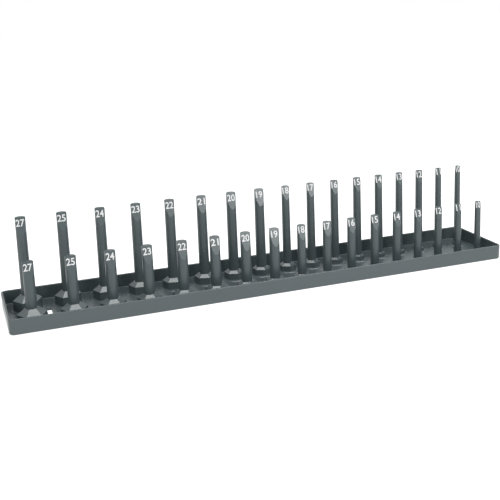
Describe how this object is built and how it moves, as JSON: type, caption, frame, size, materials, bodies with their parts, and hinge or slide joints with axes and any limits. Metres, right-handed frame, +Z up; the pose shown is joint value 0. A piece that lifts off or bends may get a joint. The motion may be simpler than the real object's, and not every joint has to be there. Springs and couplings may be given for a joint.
{
  "type": "socket holder",
  "caption": "Shallow tray with a front row of short posts and a rear row of tall posts on hexagonal seats, which hold metric sockets by size.",
  "frame": {"origin": "middle of the flat underside, halfway between the tray's ends and between its front and back", "axes": "+X along the rows from the largest size to the smallest, +Y from the short front row to the tall rear row, +Z up along the posts"},
  "size_m": [0.5696, 0.0952, 0.1025],
  "materials": {
    "tray_plastic": "satin moulded plastic, slate grey",
    "seat_plastic": "satin moulded plastic, slate grey",
    "post_plastic": "satin moulded plastic, slate grey, with a white number on the slanted face"
  },
  "bodies": {
    "root": {"tray_pan": "tray_plastic", "seats_27": "seat_plastic", "seats_25": "seat_plastic", "seats_24": "seat_plastic", "seats_23": "seat_plastic", "seats_22": "seat_plastic", "seats_21": "seat_plastic", "seats_20": "seat_plastic", "seats_19": "seat_plastic", "seats_18": "seat_plastic", "seats_17": "seat_plastic", "seats_16": "seat_plastic", "seats_15": "seat_plastic", "seats_14": "seat_plastic", "seats_13": "seat_plastic", "seats_12": "seat_plastic", "seats_11": "seat_plastic", "seats_10": "seat_plastic", "short_post_27": "post_plastic", "short_post_25": "post_plastic", "short_post_24": "post_plastic", "short_post_23": "post_plastic", "short_post_22": "post_plastic", "short_post_21": "post_plastic", "short_post_20": "post_plastic", "short_post_19": "post_plastic", "short_post_18": "post_plastic", "short_post_17": "post_plastic", "short_post_16": "post_plastic", "short_post_15": "post_plastic", "short_post_14": "post_plastic", "short_post_13": "post_plastic", "short_post_12": "post_plastic", "short_post_11": "post_plastic", "short_post_10": "post_plastic", "tall_post_27": "post_plastic", "tall_post_25": "post_plastic", "tall_post_24": "post_plastic", "tall_post_23": "post_plastic", "tall_post_22": "post_plastic", "tall_post_21": "post_plastic", "tall_post_20": "post_plastic", "tall_post_19": "post_plastic", "tall_post_18": "post_plastic", "tall_post_17": "post_plastic", "tall_post_16": "post_plastic", "tall_post_15": "post_plastic", "tall_post_14": "post_plastic", "tall_post_13": "post_plastic", "tall_post_12": "post_plastic", "tall_post_11": "post_plastic", "tall_post_10": "post_plastic"}
  },
  "joints": []
}
